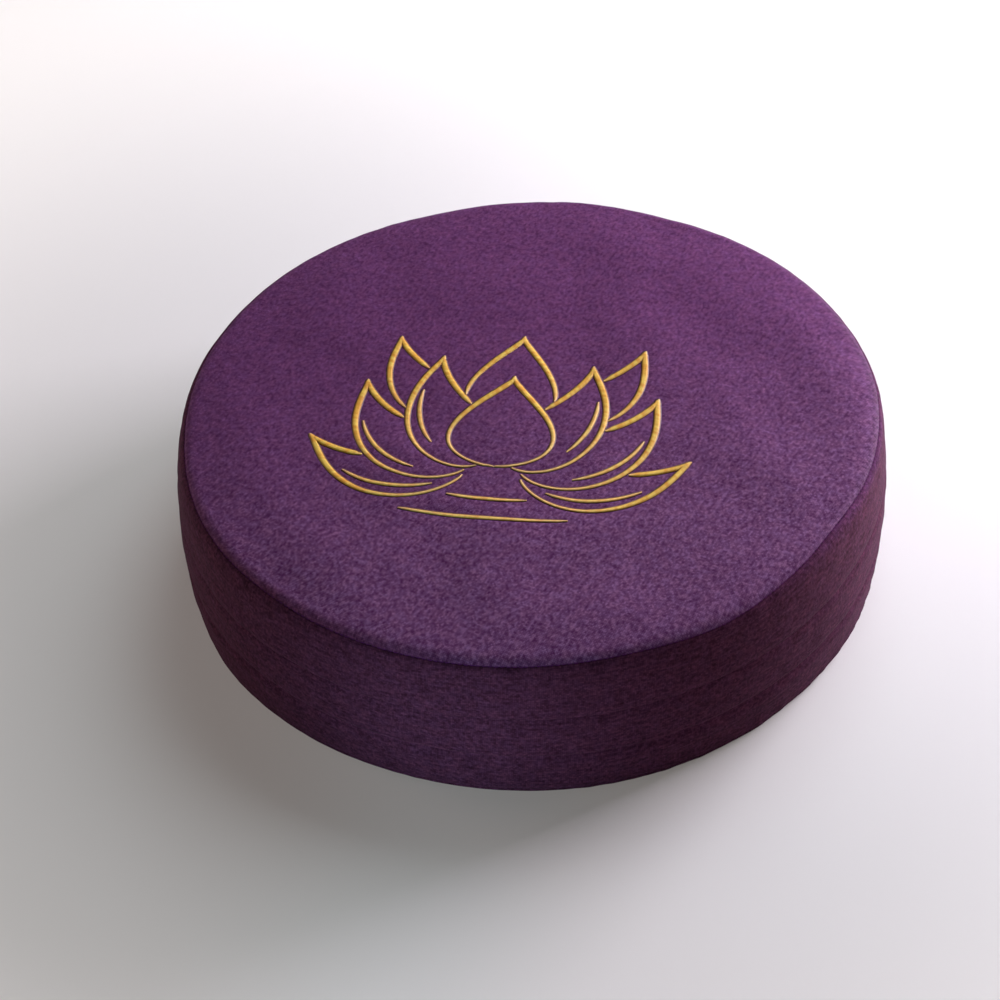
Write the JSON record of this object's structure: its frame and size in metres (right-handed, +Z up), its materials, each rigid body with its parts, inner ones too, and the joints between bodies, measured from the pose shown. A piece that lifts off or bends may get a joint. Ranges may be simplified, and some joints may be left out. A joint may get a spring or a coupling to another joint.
{
  "type": "round meditation cushion",
  "caption": "Round flat meditation cushion: crowned top with an embroidered flower, a side of sewn strips drawn in at their seams, and a flat base.",
  "frame": {"origin": "middle of the flat base, on the floor it rests on", "axes": "+Z up through the middle of the crowned top; -Y is the front, the side of the flower's foot; +X is to the right seen from the front"},
  "size_m": [0.4002, 0.4002, 0.0996],
  "materials": {
    "cover_cloth": "matt woven cotton-linen, purple with darker flecks",
    "gold_thread": "satin stitch, gold thread"
  },
  "bodies": {
    "root": {"cushion": "cover_cloth", "fold_inner_left": "gold_thread", "fold_inner_right": "gold_thread", "fold_low_left": "gold_thread", "fold_low_right": "gold_thread", "fold_outer_left": "gold_thread", "fold_outer_right": "gold_thread", "petal_back_middle_inner": "gold_thread", "petal_back_middle_outer": "gold_thread", "petal_front_middle_inner": "gold_thread", "petal_front_middle_outer": "gold_thread", "petal_inner_left_inner": "gold_thread", "petal_inner_left_outer": "gold_thread", "petal_inner_right_inner": "gold_thread", "petal_inner_right_outer": "gold_thread", "petal_low_left_inner": "gold_thread", "petal_low_left_outer": "gold_thread", "petal_low_right_inner": "gold_thread", "petal_low_right_outer": "gold_thread", "petal_outer_left_inner": "gold_thread", "petal_outer_left_outer": "gold_thread", "petal_outer_right_inner": "gold_thread", "petal_outer_right_outer": "gold_thread", "petal_rear_left_inner": "gold_thread", "petal_rear_left_outer": "gold_thread", "petal_rear_right_inner": "gold_thread", "petal_rear_right_outer": "gold_thread", "ripple_long": "gold_thread", "ripple_short": "gold_thread"}
  },
  "joints": []
}
